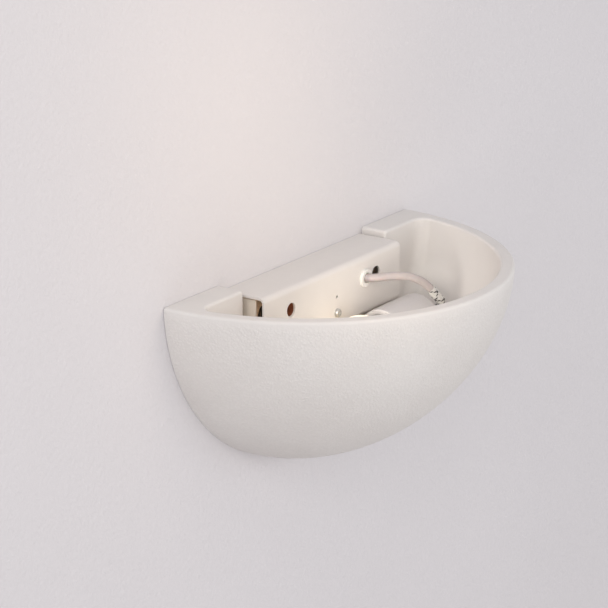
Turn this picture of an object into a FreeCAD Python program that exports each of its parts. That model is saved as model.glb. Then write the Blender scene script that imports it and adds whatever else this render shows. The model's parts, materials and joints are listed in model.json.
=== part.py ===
"""Uplighter wall sconce: a cast quarter-bowl on a folded steel wall bracket, with one screw-in lamp.

Frame: X runs along the wall, +Y into the wall, +Z up. The origin lies on the wall plane, midway
between the two wall-screw slots. All lengths are millimetres.
"""
import FreeCAD, Part
import math
import os

V = FreeCAD.Vector
X = V(1, 0, 0)
Y = V(0, 1, 0)
Z = V(0, 0, 1)

# ---- clearances -------------------------------------------------------------------------------
GAP = 0.3                 # between pieces that only lie near each other
FIT = 0.05                # radial clearance of a push fit or a running fit
SEAT = 0.1                # between a piece and the face that it bears on

# ---- bowl -------------------------------------------------------------------------------------
BOWL_WIDTH = 300.0        # corner to corner along the wall
BOWL_DEPTH = 162.0        # wall to the front of the rim
BOWL_DROP = 148.0         # rim to the lowest point
BOWL_WALL = 10.5
SIDE_POWER = 1.87         # exponent of the outline seen from the front
FRONT_POWER = 1.82        # exponent of the outline seen from the side
RIM_HEIGHT = 20.5         # rim above the wall screws
RIM_ROUND = 2.0
LIP_DEPTH = 21.0          # the two back lips, measured out from the wall
LIP_CLEAR = 3.0           # between a lip and the end of the cover
LIP_ROUND = 2.0
INNER_CORNER = 9.0        # cast radius where a lip meets the side of the bowl

# ---- sheet-metal cover and wall tray ----------------------------------------------------------
SHEET = 1.5
COVER_PAST_TRAY = 2.5     # cover beyond each end of the tray
COVER_DEPTH = 36.0
COVER_HEIGHT = 45.0
COVER_BEND = 4.0          # outer radius of its two long folds
COVER_BELOW_RIM = 4.5
TRAY_LENGTH = 166.0
TRAY_DEPTH = 27.0
TRAY_FLANGE_LENGTH = 158.0
TRAY_BEND = 2.0
TAB_TOP_GAP = 1.6         # end tab below the underside of the cover
SCREW_SPACING = 107.0     # wall slots, centre to centre
SLOT_LENGTH = 12.0
SLOT_WIDTH = 5.0
ACCESS_HOLE = 10.0        # screwdriver holes in the cover, in line with the wall slots
SMALL_HOLE = 2.2
SMALL_HOLE_BELOW = 5.5    # below the wall screws
COVER_SCREW_X = 3.0
COVER_SCREW_BELOW = 17.5
LEAD_EXIT_X = 38.5
ENTRY_X = -38.0           # supply cable entry in the tray
ENTRY_BELOW = 14.0
ENTRY_HOLE = 12.0

# ---- hook that carries the bowl ---------------------------------------------------------------
EAR_LENGTH = 14.0
EAR_HEIGHT = 20.0
EAR_BELOW = 2.0           # top of the ear, below the wall screws
EAR_FROM_WALL = 9.0
HOOK_LIFT = 14.0          # rise that frees the bowl from the ears
POCKET_SIDE_PLAY = 1.5

# ---- screws -----------------------------------------------------------------------------------
M4_R = 2.0
M4_HEAD_R = 3.2
M4_HEAD_HEIGHT = 2.4
M3_R = 1.5
M3_HEAD_R = 2.75
M3_HEAD_HEIGHT = 1.8
COVER_SCREW_REACH = 8.0   # thread inside the pillar
PILLAR_ACROSS = 7.0       # hexagon, across flats
WASHER = 0.8

# ---- lead and grommets ------------------------------------------------------------------------
LEAD_R = 3.0
BRAID_R = 3.45
BRAID_FROM = 6            # the sleeve starts after this corner of the route
GROMMET_FLANGE_R = 6.75
GROMMET_NECK_R = 4.8
GROMMET_FLANGE = 2.4
GROMMET_FLARE = 0.9       # the bore opens by this much towards the room
GROMMET_BEAD = 1.0        # behind the cover, beyond the neck
ENTRY_BORE_R = 4.0
ENTRY_FLANGE_R = 8.0
ENTRY_FLANGE = 2.0
# From the clamp in the tray, and out through the cover.
LEAD_START = [
    V(6.0, -9.0, 0.0), V(24.0, -9.0, 0.0), V(LEAD_EXIT_X, -23.5, 0.0), V(LEAD_EXIT_X, -41.5, 0.0),
    V(49.5, -52.5, 1.6), V(60.0, -62.0, 0.0),
]
# Down behind the arm and into the nipple, from where the lamp axis meets the arm's outer face.
LEAD_LOOP = [
    V(-7.6, -9.0, 30.5), V(2.9, -13.0, 17.0), V(11.3, -12.5, 11.0), V(13.3, -6.3, 4.2),
    V(7.5, 0.0, 0.0), V(-10.1, 0.0, 0.0),
]

# ---- lampholder -------------------------------------------------------------------------------
HOLDER_TO_END = 9.5       # back of the holder to the end of the cover
HOLDER_LENGTH = 51.0
HOLDER_R = 20.0
HOLDER_WALL = 2.2
HOLDER_SKIRT_R = 16.0     # inside radius of the mouth
HOLDER_FROM_WALL = 60.0   # lamp axis
HOLDER_BELOW = 37.0
HOLDER_CAP = 14.0         # length of the rear cap
HOLDER_ROUND = 4.0
HOLDER_LIP_ROUND = 1.4
BASE_TO_BACK = 20.5       # front of the insulating base to the back of the cap
BASE_THICK = 5.0
THREAD_BORE_R = 13.45
THREAD_SHEET = 0.4
THREAD_RIB = 0.9
THREAD_PITCH = 3.629
THREAD_RINGS = 6
THREAD_FROM_BASE = 2.5
CONTACT_SHEET = 0.4
CONTACT_WIDTH = 6.0
CONTACT_RISE = 2.0
CONTACT_FOOT = 10.0       # leaf spring, measured down from the lamp axis
CONTACT_KNEE = 6.0
CONTACT_FLAT = 3.0
SIDE_TAB_REACH = 15.5     # top of the side contact above the lamp axis
TERMINAL_OFFSET = 8.0     # the two terminals above and below the lamp axis
TERMINAL_SIZE = 6.0
TERMINAL_POST_R = 2.0
TERMINAL_HEAD_R = 2.25
TERMINAL_HEAD = 1.4
NIPPLE_R = 5.0
NIPPLE_BORE_R = 3.6
NIPPLE_FLANGE_R = 7.0
NIPPLE_FLANGE = 2.0
NIPPLE_PAST_NUT = 1.5
NIPPLE_EDGE = 0.7
NUT_ACROSS = 14.0
NUT_THICK = 3.0
ARM_HEAD_R = 10.0
ARM_WIDTH = 16.0
ARM_TAB = 22.0
ARM_BEND = 2.5
ARM_FROM_FACE = 1.0       # edge of the tab behind the face of the cover
RIVET_SPACING = 9.0
RIVET_R = 1.6
RIVET_HEAD_R = 2.8
RIVET_HEAD = 1.2
RIVET_TAIL_R = 2.2        # closed head, inside the cover
RIVET_FROM_FACE = 6.6
RIVET_FROM_TAB_END = 6.0

# ---- lamp, sizes measured back from its contact tip ---------------------------------------------
LAMP_LENGTH = 77.0
DOME_R = 22.5
DOME_SKIN = 1.2
DOME_SEAT_R = 17.0        # where the dome meets the collar
COLLAR_LENGTH = 13.5
COLLAR_END_R = 13.4
COLLAR_PLATE = 2.0
COLLAR_SPIGOT = 6.0       # length inside the cap
COLLAR_SPIGOT_WALL = 1.2
CAP_R = 13.0
CAP_SHEET = 0.4
CAP_RINGS = 4
CAP_RIB = 0.8
CAP_TO_TIP = 5.5
CAP_LAST_LAND = 3.5       # past the last ring of the thread
CAP_NECK = 1.2            # the end is this much narrower than the thread root
TIP_R = 4.6
TIP_THICK = 1.4
TIP_EDGE = 0.6
INSULATOR_LENGTH = 6.0
INSULATOR_RIM = 4.0       # length of its cone
INSULATOR_WALL = 0.8
BOARD_R = 14.0
BOARD_THICK = 1.2
DRIVER_WIDTH = 14.0
DRIVER_THICK = 1.6
DRIVER_TO_TIP = 11.0
EMITTER_COUNT = 8
EMITTER_SIZE = 2.8
EMITTER_THICK = 0.8
EMITTER_RING_R = 9.0

# ---- terminal block ---------------------------------------------------------------------------
BLOCK_X = -15.5
BLOCK_WIDTH = 17.0
BLOCK_DEPTH = 15.0
POLE_PITCH = 10.0
CLAMP_R = 3.0
CLAMP_BORE_R = 1.5
CLAMP_HEIGHT = 8.0        # clamp axis in front of the tray
CLAMP_LENGTH = 14.0
CLAMP_SCREW_R = 1.45
CLAMP_SCREW_OFFSET = 4.0
CLAMP_SCREW_SUNK = 1.0
BLOCK_SCREW_LAND = 0.8    # plastic between the middle clamps and the head of the block's screw
WIRE_R = 1.1
CORE_SPREAD = 1.4         # each core beside the axis of the lead
CORE_OUT = 4.0            # straight out of the sheath
CORE_IN = 8.0             # straight into its terminal
HOLDER_CORE_SPREAD = 0.175  # share of the terminals' offset at which a core leaves the sheath

# ---- cord clamp and earth point ---------------------------------------------------------------
CORD_CLAMP_X = 11.25
CORD_CLAMP_WIDTH = 6.5
CORD_CLAMP_HEIGHT = 19.0
CORD_CLAMP_SPACING = 12.4
CORD_CLAMP_SPLIT = 0.7    # half the gap between its two halves
CORD_CLAMP_TOP = 2.3      # bridge above the lead
EARTH_X = 28.0
EARTH_BELOW = 15.0
LUG_R = 4.2
LUG_SHEET = 0.8
LUG_BARREL_R = 1.8
LUG_BARREL = 5.5
LUG_NECK = 1.5
LUG_TONGUE = 2.8
LUG_GRIP = 3.2            # wire inside the barrel
EARTH_OUT = 7.2           # straight run out of the earth pole
EARTH_IN = 7.5            # straight run into the lug
# Where the earth link passes the pillar: along X from the pillar, from the wall, above the pillar.
EARTH_PAST_PILLAR = [V(-5.8, -7.2, 1.2), V(2.2, -4.8, 1.2)]

# ---- places worked out from the sizes above ---------------------------------------------------
cover_top = RIM_HEIGHT - COVER_BELOW_RIM
cover_bottom = cover_top - COVER_HEIGHT
cover_mid = (cover_top + cover_bottom) / 2
cover_face = -COVER_DEPTH
tray_face = -SHEET
tray_top = cover_top - SHEET - GAP
tray_bottom = cover_bottom + SHEET + GAP
tray_end = TRAY_LENGTH / 2
cover_end = tray_end + COVER_PAST_TRAY
lip_end = cover_end + LIP_CLEAR
ear_top = -EAR_BELOW
ear_end = tray_end + EAR_LENGTH
screw_x = SCREW_SPACING / 2
cover_screw_z = -COVER_SCREW_BELOW
entry_z = -ENTRY_BELOW
earth_z = -EARTH_BELOW
lamp_y = -HOLDER_FROM_WALL
lamp_z = -HOLDER_BELOW
holder_back = cover_end - HOLDER_TO_END
holder_mouth = holder_back - HOLDER_LENGTH
holder_split = holder_back - HOLDER_CAP
base_front = holder_back - BASE_TO_BACK
base_back = base_front + BASE_THICK
arm_inner = holder_back + SEAT
arm_outer = arm_inner + SHEET
rivet_x = [arm_outer - ARM_TAB + RIVET_FROM_TAB_END,
           arm_outer - ARM_TAB + RIVET_FROM_TAB_END + RIVET_SPACING]
rivet_y = cover_face + RIVET_FROM_FACE
lamp_tip = base_front - CONTACT_RISE - CONTACT_SHEET - SEAT
dome_x = lamp_tip - LAMP_LENGTH + DOME_R
collar_front = dome_x + math.sqrt(DOME_R ** 2 - DOME_SEAT_R ** 2)
collar_back = collar_front + COLLAR_LENGTH
clamp_y = tray_face - CLAMP_HEIGHT
pole_z = [cover_mid + POLE_PITCH * i for i in (-1, 0, 1)]
block_front = tray_face - BLOCK_DEPTH
block_screw_z = cover_mid + POLE_PITCH / 2
block_screw_seat = clamp_y - CLAMP_R - BLOCK_SCREW_LAND
lead_route = LEAD_START + [V(arm_outer, lamp_y, lamp_z) + step for step in LEAD_LOOP]
lead_y = LEAD_START[0].y
barrel_end = EARTH_X - LUG_R - LUG_NECK
cord_clamp_screw_z = [-CORD_CLAMP_SPACING / 2, CORD_CLAMP_SPACING / 2]


# ---- helpers ----------------------------------------------------------------------------------
def box(x0, x1, y0, y1, z0, z1):
    """Box between two corners, given in either order."""
    low = V(min(x0, x1), min(y0, y1), min(z0, z1))
    return Part.makeBox(abs(x1 - x0), abs(y1 - y0), abs(z1 - z0), low)


def rod(radius, start, end):
    """Cylinder from one point to another."""
    return Part.makeCylinder(radius, (end - start).Length, start, end - start)


def tube(outer, inner, start, end):
    """Hollow cylinder from one point to another."""
    return rod(outer, start, end).cut(rod(inner, start, end))


def pin_y(radius, x, z, y0, y1):
    """Cylinder along Y."""
    return rod(radius, V(x, y0, z), V(x, y1, z))


def fuse(shapes):
    """One shape from several that overlap, without the seams between them."""
    return shapes[0].multiFuse(shapes[1:]).removeSplitter()


def cut_all(shape, tools):
    """The shape less every tool."""
    for tool in tools:
        shape = shape.cut(tool)
    return shape


def group(solids):
    """Separate solids that share one node."""
    return Part.makeCompound(solids)


def hexagon(across, start, end):
    """Hexagonal bar, its size across flats, from one point to another."""
    along = (end - start).normalize()
    side = along.cross(Z)
    up = along.cross(side)
    corner = across / math.sqrt(3)
    points = []
    for i in range(7):
        turn = math.pi / 3 * i
        points.append(start + side * (corner * math.cos(turn)) + up * (corner * math.sin(turn)))
    return Part.Face(Part.makePolygon(points)).extrude(end - start)


def on_axis(x, up=0.0, out=0.0):
    """Point beside the lamp axis: up, and out towards the room."""
    return V(x, lamp_y - out, lamp_z + up)


def turned(points):
    """Solid of revolution about the lamp axis. The points are (place along X, radius)."""
    wire = Part.makePolygon([V(x, 0, r) for x, r in points + points[:1]])
    solid = Part.Face(wire).revolve(V(0, 0, 0), X, 360)
    solid.translate(on_axis(0))
    return solid


def zigzag(start, low, high, rings):
    """Profile points of rolled thread rings, from low to high and back."""
    points = []
    for i in range(rings):
        x = start + i * THREAD_PITCH
        points.append((x, low))
        points.append((x + THREAD_PITCH / 2, high))
    points.append((start + rings * THREAD_PITCH, low))
    return points


def near(value, target):
    """True when a coordinate lies on its target."""
    return abs(value - target) < 0.01


def edges_where(shape, test):
    """Edges whose bounding box passes the test."""
    return [edge for edge in shape.Edges if edge.Length > 0.5 and test(edge.BoundBox)]


def pan_screw(radius, head_r, head_height, seat, tip):
    """Pan-head screw with a cross recess. The head stands on the seat, the shank runs to the tip."""
    out = (seat - tip).normalize()
    top = seat + out * head_height
    head = rod(head_r, seat, top)
    rim = [edge for edge in head.Edges if (edge.CenterOfMass - top).Length < 0.01]
    head = head.makeFillet(head_height * 0.5, rim)
    across = out.cross(Z)
    recess_r = head_height * 0.25
    cross = [rod(recess_r, top - way * (head_r * 0.55), top + way * (head_r * 0.55))
             for way in (across, out.cross(across))]
    return cut_all(fuse([head, rod(radius, seat, tip)]), cross)


def slotted_rod(radius, start, end):
    """Headless screw from its slotted end to its tip."""
    side = (end - start).normalize().cross(Z)
    return rod(radius, start, end).cut(rod(radius * 0.25, start - side * radius, start + side * radius))


# ---- bowl -------------------------------------------------------------------------------------
def quarter_egg(half_width, depth, drop):
    """Solid below the rim plane and in front of the wall plane, round in plan."""
    rings = 12
    steps = 18
    rows = []
    for i in range(rings + 1):
        fall = math.sin(math.pi / 2 * i / rings) ** (2 / SIDE_POWER)
        side = max(0.0, 1 - fall ** SIDE_POWER) ** (1 / SIDE_POWER)
        front = max(0.0, 1 - fall ** FRONT_POWER) ** (1 / FRONT_POWER)
        row = []
        for j in range(steps + 1):
            turn = math.pi * j / steps
            y = -depth * front * math.sin(turn) if 0 < j < steps else 0.0
            row.append(V(half_width * side * math.cos(turn), y, RIM_HEIGHT - drop * fall))
        rows.append(row)
    surface = Part.BSplineSurface()
    surface.interpolate(rows)
    skin = surface.toShape()
    rim = edges_where(skin, lambda b: near(b.ZMin, RIM_HEIGHT) and b.YMin < -1)
    sides = edges_where(skin, lambda b: near(b.YMin, 0) and near(b.YMax, 0))
    line = Part.makeLine(V(-half_width, 0, RIM_HEIGHT), V(half_width, 0, RIM_HEIGHT))
    lids = [Part.Face(Part.Wire(Part.__sortEdges__(edges + [line]))) for edges in (rim, sides)]
    shell = Part.makeShell([skin] + lids)
    shell.sewShape()
    solid = Part.Solid(shell)
    if solid.Volume < 0:
        solid.reverse()
    return solid


def ear_pocket(side):
    """Keyhole in a lip: narrow above, where the ear carries it, and open to the wall below."""
    inner = side * (lip_end - 1)
    outer = side * (ear_end + POCKET_SIDE_PLAY)
    front = -EAR_FROM_WALL - SHEET - GAP
    hook = ear_top + GAP
    foot = hook - HOOK_LIFT
    narrow = box(inner, outer, front, -EAR_FROM_WALL + GAP, foot - 1, hook)
    wide = box(inner, outer, front, 1, foot - EAR_HEIGHT - 2 * GAP, foot)
    return fuse([narrow, wide])


def make_bowl():
    reach = BOWL_WIDTH
    half_gap = lip_end
    cavity = quarter_egg(BOWL_WIDTH / 2 - BOWL_WALL, BOWL_DEPTH - BOWL_WALL, BOWL_DROP - BOWL_WALL)
    cavity = cavity.cut(box(half_gap, reach, -LIP_DEPTH, 1, -reach, reach))
    cavity = cavity.cut(box(-half_gap, -reach, -LIP_DEPTH, 1, -reach, reach))
    on_lip = lambda b: near(b.YMin, -LIP_DEPTH) and near(b.YMax, -LIP_DEPTH) and b.ZMin < 0
    casts = edges_where(cavity, lambda b: on_lip(b) and b.XMax - b.XMin > 1)
    cavity = cavity.makeFillet(INNER_CORNER, casts)
    ends = edges_where(cavity, lambda b: on_lip(b) and b.XMax - b.XMin < 0.1)
    cavity = cavity.makeFillet(LIP_ROUND, ends)
    bowl = quarter_egg(BOWL_WIDTH / 2, BOWL_DEPTH, BOWL_DROP).cut(cavity)
    rim = edges_where(bowl, lambda b: near(b.ZMin, RIM_HEIGHT) and b.YMin < -1)
    bowl = bowl.makeFillet(RIM_ROUND, rim)
    return cut_all(bowl, [ear_pocket(1), ear_pocket(-1)])


# ---- sheet metal ------------------------------------------------------------------------------
def make_cover():
    half = cover_end
    long_front = lambda y: lambda b: near(b.YMin, y) and near(b.YMax, y) and b.XMax - b.XMin > half
    cover = box(-half, half, cover_face, 0, cover_bottom, cover_top)
    cover = cover.makeFillet(COVER_BEND, edges_where(cover, long_front(cover_face)))
    inner_face = cover_face + SHEET
    room = box(-half, half, inner_face, 1, cover_bottom + SHEET, cover_top - SHEET)
    room = room.makeFillet(COVER_BEND - SHEET, edges_where(room, long_front(inner_face)))
    cover = cover.cut(room)
    holes = [(-screw_x, 0.0, ACCESS_HOLE / 2), (screw_x, 0.0, ACCESS_HOLE / 2),
             (LEAD_EXIT_X, 0.0, GROMMET_NECK_R + FIT),
             (COVER_SCREW_X, -SMALL_HOLE_BELOW, SMALL_HOLE / 2),
             (COVER_SCREW_X, cover_screw_z, M4_R + GAP)]
    cover = cut_all(cover, [pin_y(r, x, z, cover_face - 1, inner_face + 1) for x, z, r in holes])
    return cut_all(cover, [rod(RIVET_R + FIT, V(x, rivet_y, cover_bottom - 1),
                               V(x, rivet_y, cover_bottom + SHEET + 1)) for x in rivet_x])


def wall_slot(x):
    """Horizontal slot for a wall screw."""
    run = (SLOT_LENGTH - SLOT_WIDTH) / 2
    radius = SLOT_WIDTH / 2
    return fuse([box(x - run, x + run, tray_face - 1, 1, -radius, radius),
                 pin_y(radius, x - run, 0, tray_face - 1, 1),
                 pin_y(radius, x + run, 0, tray_face - 1, 1)])


def make_wall_tray():
    half = TRAY_FLANGE_LENGTH / 2
    tray = box(-half, half, -TRAY_DEPTH, 0, tray_bottom, tray_top)
    folds = edges_where(tray, lambda b: near(b.YMin, 0) and near(b.YMax, 0) and b.XMax - b.XMin > half)
    tray = tray.makeFillet(TRAY_BEND, folds)
    tray = tray.cut(box(-half, half, -TRAY_DEPTH, tray_face, tray_bottom + SHEET, tray_top - SHEET))
    tab_top = cover_top - SHEET - TAB_TOP_GAP
    tab_bottom = cover_bottom + SHEET + TAB_TOP_GAP
    pieces = [tray, box(-tray_end, tray_end, tray_face, 0, tab_bottom, tab_top)]
    for side in (-1, 1):
        end = side * tray_end
        pieces.append(box(end - side * SHEET, end, -TRAY_DEPTH, 0, tab_bottom, tab_top))
        pieces.append(box(end - side * SHEET, side * ear_end, -EAR_FROM_WALL - SHEET, -EAR_FROM_WALL,
                          ear_top - EAR_HEIGHT, ear_top))
    holes = [(ENTRY_X, entry_z, ENTRY_HOLE / 2), (COVER_SCREW_X, cover_screw_z, M4_R + FIT),
             (BLOCK_X, block_screw_z, M3_R + FIT), (EARTH_X, earth_z, M4_R + FIT)]
    holes += [(CORD_CLAMP_X, z, M3_R + FIT) for z in cord_clamp_screw_z]
    tools = [pin_y(r, x, z, tray_face - 1, 1) for x, z, r in holes]
    return cut_all(fuse(pieces), tools + [wall_slot(-screw_x), wall_slot(screw_x)])


def make_cover_pillar():
    """Hexagonal pillar riveted into the tray, with a blind thread for the cover screw."""
    front = cover_face + SHEET + SEAT
    bar = hexagon(PILLAR_ACROSS, V(COVER_SCREW_X, tray_face, cover_screw_z),
                  V(COVER_SCREW_X, front, cover_screw_z))
    foot = pin_y(M4_R, COVER_SCREW_X, cover_screw_z, tray_face - 1, 0)
    hole_end = front + COVER_SCREW_REACH + M4_R
    return fuse([bar, foot]).cut(pin_y(M4_R + FIT, COVER_SCREW_X, cover_screw_z, front - 1, hole_end))


def make_cover_screw():
    return pan_screw(M4_R, M4_HEAD_R, M4_HEAD_HEIGHT, V(COVER_SCREW_X, cover_face, cover_screw_z),
                     V(COVER_SCREW_X, cover_face + SHEET + COVER_SCREW_REACH, cover_screw_z))


# ---- grommets ---------------------------------------------------------------------------------
def make_lead_grommet():
    front = cover_face - GROMMET_FLANGE
    inner_face = cover_face + SHEET
    back = inner_face + GROMMET_FLANGE / 2
    flange = pin_y(GROMMET_FLANGE_R, LEAD_EXIT_X, 0, front, cover_face)
    rim = edges_where(flange, lambda b: near(b.YMin, front) and near(b.YMax, front))
    flange = flange.makeFillet(GROMMET_FLANGE * 0.45, rim)
    bead = pin_y(GROMMET_NECK_R + GROMMET_BEAD, LEAD_EXIT_X, 0, inner_face, back)
    body = fuse([flange, pin_y(GROMMET_NECK_R, LEAD_EXIT_X, 0, cover_face - 1, back), bead])
    bore = LEAD_R + FIT
    flare = Part.makeCone(bore + GROMMET_FLARE, bore, cover_face + SHEET - front,
                          V(LEAD_EXIT_X, front, 0), Y)
    return cut_all(body, [pin_y(bore, LEAD_EXIT_X, 0, front - 1, back + 1), flare])


def make_entry_grommet():
    """Push-in bush: its flange lies on the tray, and its neck ends flush with the wall."""
    front = tray_face - ENTRY_FLANGE
    flange = pin_y(ENTRY_FLANGE_R, ENTRY_X, entry_z, front, tray_face)
    rim = edges_where(flange, lambda b: near(b.YMin, front) and near(b.YMax, front))
    flange = flange.makeFillet(ENTRY_FLANGE * 0.4, rim)
    neck = pin_y(ENTRY_HOLE / 2 - FIT, ENTRY_X, entry_z, tray_face - 1, 0)
    return fuse([flange, neck]).cut(pin_y(ENTRY_BORE_R, ENTRY_X, entry_z, front - 1, 1))


# ---- lead and cores ---------------------------------------------------------------------------
def route_edges(points):
    """Straight runs joined by tangent arcs, each as large as its two runs allow."""
    edges = []
    radii = []
    start = points[0]
    for before, corner, after in zip(points, points[1:], points[2:]):
        into = (corner - before).normalize()
        out = (after - corner).normalize()
        turn = into.getAngle(out)
        trim = 0.45 * min((corner - before).Length, (after - corner).Length)
        radius = trim / math.tan(turn / 2)
        enter = corner - into * trim
        leave = corner + out * trim
        centre_way = (out - into).normalize()
        middle = corner + centre_way * (radius / math.cos(turn / 2) - radius)
        edges.append(Part.LineSegment(start, enter).toShape())
        edges.append(Part.Arc(enter, middle, leave).toShape())
        radii.append(round(radius, 1))
        start = leave
    edges.append(Part.LineSegment(start, points[-1]).toShape())
    return edges, radii


def pipe(edges, radius):
    """Round solid along a path."""
    path = Part.Wire(edges)
    first = edges[0].Vertexes[0].Point
    way = edges[0].tangentAt(edges[0].FirstParameter)
    section = Part.Wire(Part.makeCircle(radius, first, way))
    solid = path.makePipeShell([section], True, False)
    print("  pipe of radius %.2f: length %.1f, volume over section times length %.4f"
          % (radius, path.Length, solid.Volume / (math.pi * radius ** 2 * path.Length)))
    return solid


def make_lamp_lead():
    edges, radii = route_edges(lead_route)
    print("  lamp lead bend radii", radii)
    return pipe(edges, LEAD_R)


def make_braided_sleeve():
    """Sleeve over the last part of the lead. It ends inside the nipple."""
    edges = route_edges(lead_route)[0][2 * BRAID_FROM:]
    end = on_axis(holder_back - HOLDER_WALL)
    edges[-1] = Part.LineSegment(edges[-1].Vertexes[0].Point, end).toShape()
    return pipe(edges, BRAID_R).cut(pipe(edges, LEAD_R + FIT))


def core_ends(side, pole):
    """The two bared ends of one core: from the sheath to its pole, and into the lampholder."""
    start = lead_route[0] + Z * (side * CORE_SPREAD)
    inside = V(BLOCK_X + CLAMP_LENGTH / 4, clamp_y, pole_z[pole])
    to_block = [start, start - X * CORE_OUT, inside + X * CORE_IN, inside]
    up = side * TERMINAL_OFFSET
    beside = up * HOLDER_CORE_SPREAD
    terminal_x = base_back + TERMINAL_SIZE / 2
    to_holder = [on_axis(lead_route[-1].x, beside), on_axis(terminal_x, beside), on_axis(terminal_x, up)]
    return group([pipe(route_edges(points)[0], WIRE_R) for points in (to_block, to_holder)])


def make_live_core():
    return core_ends(1, 2)


def make_neutral_core():
    return core_ends(-1, 1)


def make_earth_link():
    """Wire from the earth pole, over the pillar, to the earth screw on the tray."""
    inside = V(BLOCK_X + CLAMP_LENGTH / 4, clamp_y, pole_z[0])
    lug_end = V(barrel_end - LUG_BARREL + LUG_GRIP, tray_face - LUG_BARREL_R, earth_z)
    pillar_top = V(COVER_SCREW_X, 0, cover_screw_z + PILLAR_ACROSS / 2 + WIRE_R)
    past_pillar = [pillar_top + step for step in EARTH_PAST_PILLAR]
    route = [inside, inside + X * EARTH_OUT] + past_pillar + [lug_end - X * EARTH_IN, lug_end]
    return pipe(route_edges(route)[0], WIRE_R)


# ---- terminal block ---------------------------------------------------------------------------
def clamp_screw_x():
    """Places of the two screws of each pole."""
    return [BLOCK_X - CLAMP_SCREW_OFFSET, BLOCK_X + CLAMP_SCREW_OFFSET]


def make_terminal_block():
    left = BLOCK_X - BLOCK_WIDTH / 2
    right = BLOCK_X + BLOCK_WIDTH / 2
    half = CLAMP_LENGTH / 2 + FIT
    block = box(left, right, block_front, tray_face, pole_z[0] - POLE_PITCH / 2,
                pole_z[2] + POLE_PITCH / 2)
    tools = []
    for z in pole_z:
        tools.append(rod(CLAMP_R + FIT, V(BLOCK_X - half, clamp_y, z), V(BLOCK_X + half, clamp_y, z)))
        tools.append(rod(WIRE_R + GAP, V(left - 1, clamp_y, z), V(right + 1, clamp_y, z)))
        for x in clamp_screw_x():
            tools.append(pin_y(CLAMP_SCREW_R + GAP, x, z, block_front - 1, clamp_y))
    tools.append(pin_y(M3_HEAD_R + GAP, BLOCK_X, block_screw_z, block_front - 1, block_screw_seat))
    tools.append(pin_y(M3_R + FIT, BLOCK_X, block_screw_z, block_screw_seat - 1, 0))
    return cut_all(block, tools)


def make_terminal_clamps():
    clamps = []
    for z in pole_z:
        half = X * (CLAMP_LENGTH / 2)
        middle = V(BLOCK_X, clamp_y, z)
        holes = [pin_y(CLAMP_SCREW_R + FIT, x, z, clamp_y - CLAMP_R - 1, clamp_y)
                 for x in clamp_screw_x()]
        clamps.append(cut_all(tube(CLAMP_R, CLAMP_BORE_R, middle - half, middle + half), holes))
    return group(clamps)


def make_terminal_screws():
    tip = clamp_y - WIRE_R - SEAT
    return group([slotted_rod(CLAMP_SCREW_R, V(x, block_front + CLAMP_SCREW_SUNK, z), V(x, tip, z))
                  for x in clamp_screw_x() for z in pole_z])


def make_block_screw():
    return pan_screw(M3_R, M3_HEAD_R, M3_HEAD_HEIGHT, V(BLOCK_X, block_screw_seat, block_screw_z),
                     V(BLOCK_X, -SEAT, block_screw_z))


# ---- cord clamp -------------------------------------------------------------------------------
def clamp_half(y0, y1):
    """One half of the cord clamp, grooved for the lead and drilled for its two screws."""
    half = CORD_CLAMP_WIDTH / 2
    body = box(CORD_CLAMP_X - half, CORD_CLAMP_X + half, y0, y1,
               -CORD_CLAMP_HEIGHT / 2, CORD_CLAMP_HEIGHT / 2)
    groove = rod(LEAD_R + FIT, V(CORD_CLAMP_X - half - 1, lead_y, 0), V(CORD_CLAMP_X + half + 1, lead_y, 0))
    holes = [pin_y(M3_R + FIT, CORD_CLAMP_X, z, y0 - 1, y1 + 1) for z in cord_clamp_screw_z]
    return cut_all(body, [groove] + holes)


def make_cord_clamp_base():
    return clamp_half(lead_y + CORD_CLAMP_SPLIT, tray_face)


def make_cord_clamp_bridge():
    return clamp_half(lead_y - LEAD_R - CORD_CLAMP_TOP, lead_y - CORD_CLAMP_SPLIT)


def make_cord_clamp_screws():
    seat = lead_y - LEAD_R - CORD_CLAMP_TOP
    return group([pan_screw(M3_R, M3_HEAD_R, M3_HEAD_HEIGHT, V(CORD_CLAMP_X, seat, z),
                            V(CORD_CLAMP_X, -SEAT, z)) for z in cord_clamp_screw_z])


# ---- earth point ------------------------------------------------------------------------------
def make_earth_lug():
    centre_y = tray_face - LUG_BARREL_R
    ring = pin_y(LUG_R, EARTH_X, earth_z, tray_face - LUG_SHEET, tray_face)
    tongue = box(barrel_end - 1, EARTH_X, tray_face - LUG_SHEET, tray_face,
                 earth_z - LUG_TONGUE / 2, earth_z + LUG_TONGUE / 2)
    ends = [V(barrel_end - LUG_BARREL, centre_y, earth_z), V(barrel_end, centre_y, earth_z)]
    lug = fuse([ring, tongue, rod(LUG_BARREL_R, ends[0], ends[1])])
    lug = lug.cut(rod(WIRE_R + FIT, ends[0] - X, ends[1] - X))
    return lug.cut(pin_y(M4_R + FIT, EARTH_X, earth_z, tray_face - 2, tray_face + 1))


def make_earth_washer():
    seat = tray_face - LUG_SHEET
    return tube(M4_HEAD_R + WASHER, M4_R + FIT, V(EARTH_X, seat, earth_z), V(EARTH_X, seat - WASHER, earth_z))


def make_earth_screw():
    return pan_screw(M4_R, M4_HEAD_R, M4_HEAD_HEIGHT,
                     V(EARTH_X, tray_face - LUG_SHEET - WASHER, earth_z), V(EARTH_X, -SEAT, earth_z))


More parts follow.
